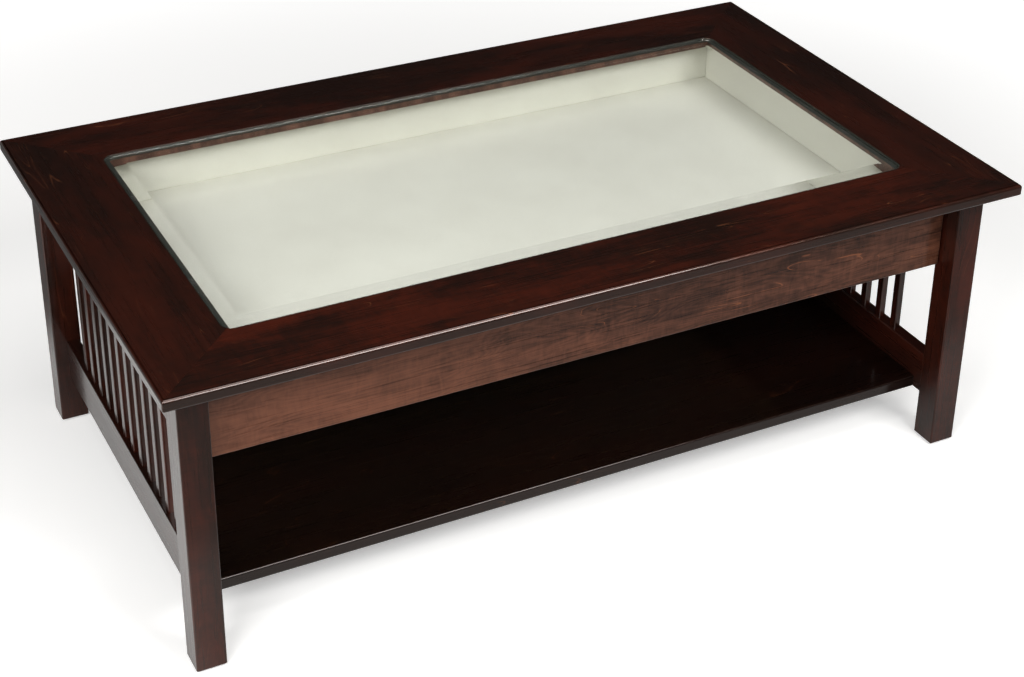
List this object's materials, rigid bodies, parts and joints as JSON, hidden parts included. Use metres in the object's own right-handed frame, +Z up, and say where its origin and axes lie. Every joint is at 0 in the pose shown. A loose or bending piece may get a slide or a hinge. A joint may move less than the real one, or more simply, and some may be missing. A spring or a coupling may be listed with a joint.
{
  "type": "collectors display coffee table",
  "caption": "Low mission coffee table with slatted ends, a shelf, and a bevelled glass top over a lined display drawer on telescopic slides.",
  "frame": {"origin": "on the floor, under the middle of the top", "axes": "+X along the table's length to the right, +Y to the back, +Z up; the drawer opens towards -Y"},
  "size_m": [1.219, 0.74, 0.436],
  "materials": {
    "stained_wood": "dark red-brown stain under satin lacquer",
    "drawer_wood": "clear-lacquered pale hardwood and birch-faced panel",
    "lining_fabric": "matte woven lining, off-white",
    "clear_glass": "clear, with polished bevel",
    "clear_plastic": "clear soft pads",
    "zinc_steel": "zinc plated",
    "glide_nylon": "dark brown nylon"
  },
  "bodies": {
    "table": {"back_apron": "stained_wood", "drawer_stretcher": "stained_wood", "frame_back": "stained_wood", "frame_front": "stained_wood", "frame_left": "stained_wood", "frame_right": "stained_wood", "glass_pads": "clear_plastic", "glass_top": "clear_glass", "leg_back_left": "stained_wood", "leg_back_right": "stained_wood", "leg_front_left": "stained_wood", "leg_front_right": "stained_wood", "leg_glides": "glide_nylon", "loose_tenons": "drawer_wood", "lower_rail_left": "stained_wood", "lower_rail_right": "stained_wood", "lower_shelf": "stained_wood", "mitre_splines": "drawer_wood", "slat_left_01": "stained_wood", "slat_left_02": "stained_wood", "slat_left_03": "stained_wood", "slat_left_04": "stained_wood", "slat_left_05": "stained_wood", "slat_left_06": "stained_wood", "slat_left_07": "stained_wood", "slat_left_08": "stained_wood", "slat_left_09": "stained_wood", "slat_left_10": "stained_wood", "slat_left_11": "stained_wood", "slat_left_12": "stained_wood", "slat_right_01": "stained_wood", "slat_right_02": "stained_wood", "slat_right_03": "stained_wood", "slat_right_04": "stained_wood", "slat_right_05": "stained_wood", "slat_right_06": "stained_wood", "slat_right_07": "stained_wood", "slat_right_08": "stained_wood", "slat_right_09": "stained_wood", "slat_right_10": "stained_wood", "slat_right_11": "stained_wood", "slat_right_12": "stained_wood", "slide_outer_left": "zinc_steel", "slide_outer_right": "zinc_steel", "table_fasteners": "zinc_steel", "upper_rail_left": "stained_wood", "upper_rail_right": "stained_wood"},
    "drawer": {"drawer_front": "stained_wood", "drawer_box_front": "drawer_wood", "drawer_box_back": "drawer_wood", "drawer_side_left": "drawer_wood", "drawer_side_right": "drawer_wood", "drawer_bottom": "drawer_wood", "floor_lining": "lining_fabric", "wall_linings": "lining_fabric", "slide_inner_left": "zinc_steel", "slide_inner_right": "zinc_steel", "drawer_screws": "zinc_steel"},
    "slide_left": {"slide_middle_left": "zinc_steel"},
    "slide_right": {"slide_middle_right": "zinc_steel"}
  },
  "joints": [
    {"name": "drawer_slide", "type": "slide", "parent": "table", "child": "drawer", "axis": [0, -1, 0], "range_m": [0, 0.5]},
    {"name": "left_slide_extension", "type": "slide", "parent": "table", "child": "slide_left", "axis": [0, -1, 0], "range_m": [0, 0.25]},
    {"name": "right_slide_extension", "type": "slide", "parent": "table", "child": "slide_right", "axis": [0, -1, 0], "range_m": [0, 0.25]}
  ],
  "couplings": [
    {"joint": "left_slide_extension", "follows": "drawer_slide", "ratio": 0.5},
    {"joint": "right_slide_extension", "follows": "drawer_slide", "ratio": 0.5}
  ]
}
